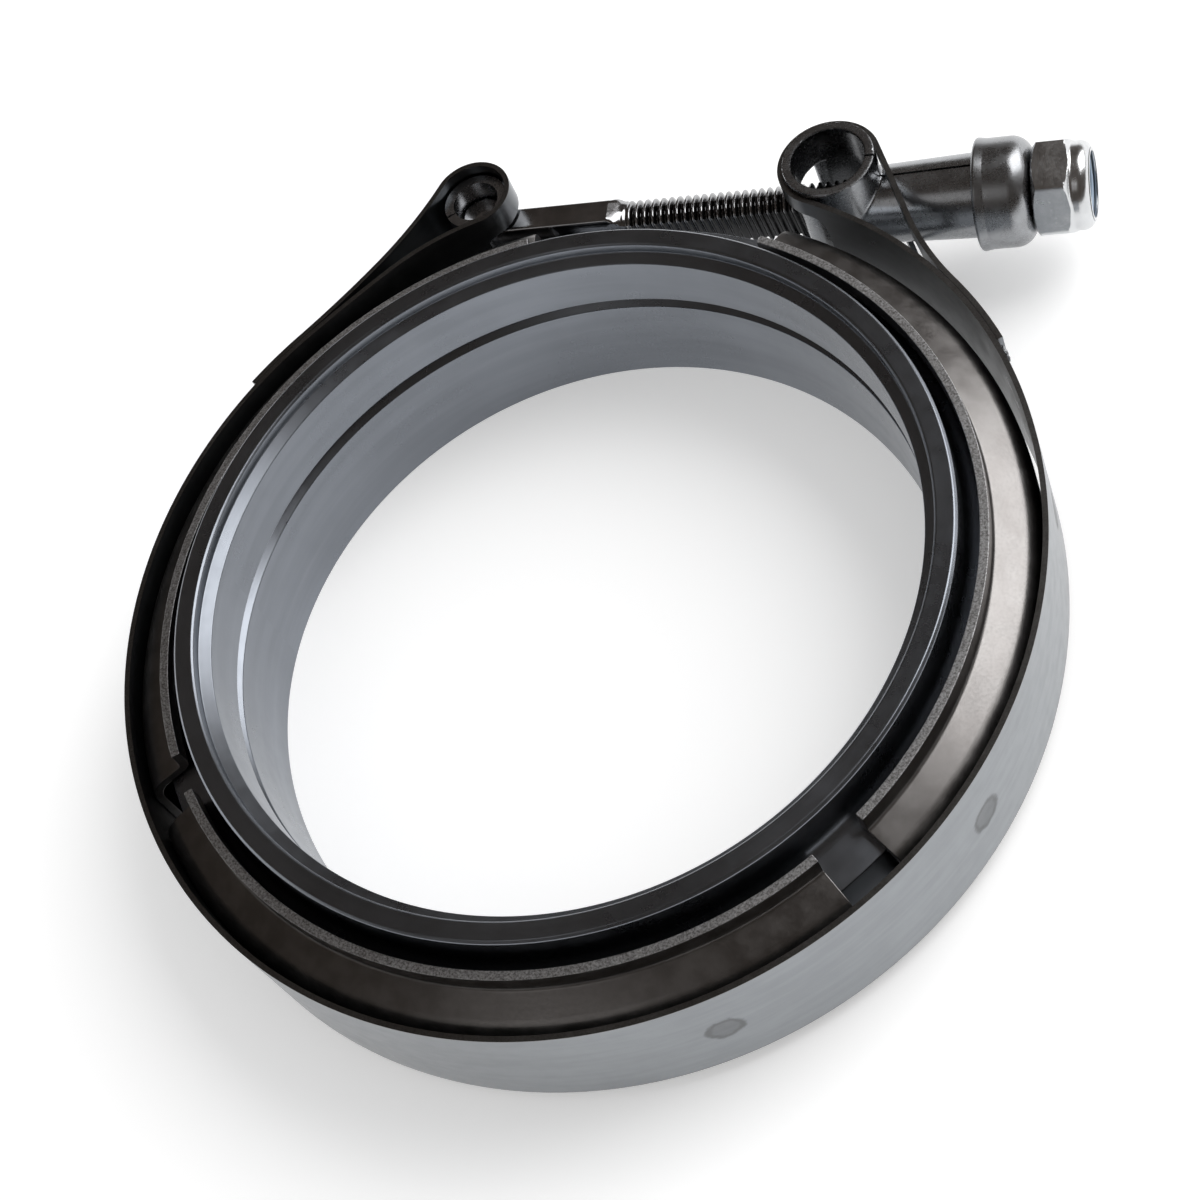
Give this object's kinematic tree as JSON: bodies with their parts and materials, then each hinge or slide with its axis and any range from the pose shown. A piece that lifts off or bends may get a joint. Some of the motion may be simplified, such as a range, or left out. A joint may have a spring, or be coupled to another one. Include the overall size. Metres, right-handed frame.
{
  "type": "v band clamp",
  "caption": "Strap clamp with V-shaped retainers that draws two bevelled tube flanges together when its T-bolt's nut is tightened.",
  "frame": {"origin": "on the ring's axis at the rear flange's end face", "axes": "+Z along the ring's axis to the front flange, +Y towards the latch, the bolt runs roughly along +X"},
  "size_m": [0.1281, 0.1404, 0.028],
  "materials": {
    "flange_steel": "turned, satin",
    "retainer_sheet": "rolled sheet, satin",
    "strap_sheet": "cold rolled, smooth",
    "rolled_sheet": "tumbled, satin",
    "bolt_steel": "rolled thread, glossy",
    "collar_sheet": "deep drawn, satin",
    "nut_plating": "bright plated",
    "insert_plastic": "moulded"
  },
  "bodies": {
    "rear_flange": {"rear_flange": "flange_steel"},
    "front_flange": {"front_flange": "flange_steel"},
    "clamp": {"band_strap": "strap_sheet", "right_retainer": "retainer_sheet", "lower_retainer": "retainer_sheet", "left_retainer": "retainer_sheet", "bolt_trunnion": "rolled_sheet", "t_bolt": "bolt_steel", "saddle": "rolled_sheet", "sleeve_collar": "collar_sheet"},
    "nut_insert": {"nut_insert": "insert_plastic"},
    "lock_nut": {"lock_nut": "nut_plating"}
  },
  "joints": [
    {"name": "front_flange_turn", "type": "hinge", "parent": "rear_flange", "child": "front_flange", "pos_m": [0, 0, 0.0126], "axis": [0, 0, 1], "continuous": true},
    {"name": "clamp_turn", "type": "hinge", "parent": "rear_flange", "child": "clamp", "pos_m": [0, 0, 0.0126], "axis": [0, 0, 1], "continuous": true},
    {"name": "nut_travel", "type": "slide", "parent": "clamp", "child": "nut_insert", "axis": [0.999, 0.0454, 0], "range_m": [0, 0.00375]},
    {"name": "nut_turn", "type": "hinge", "parent": "nut_insert", "child": "lock_nut", "pos_m": [0.02776, 0.06742, 0.0126], "axis": [0.999, 0.0454, 0], "range_deg": [0, 1080]}
  ],
  "couplings": [
    {"joint": "nut_travel", "follows": "nut_turn", "m_per_rad": 0.00019894}
  ]
}
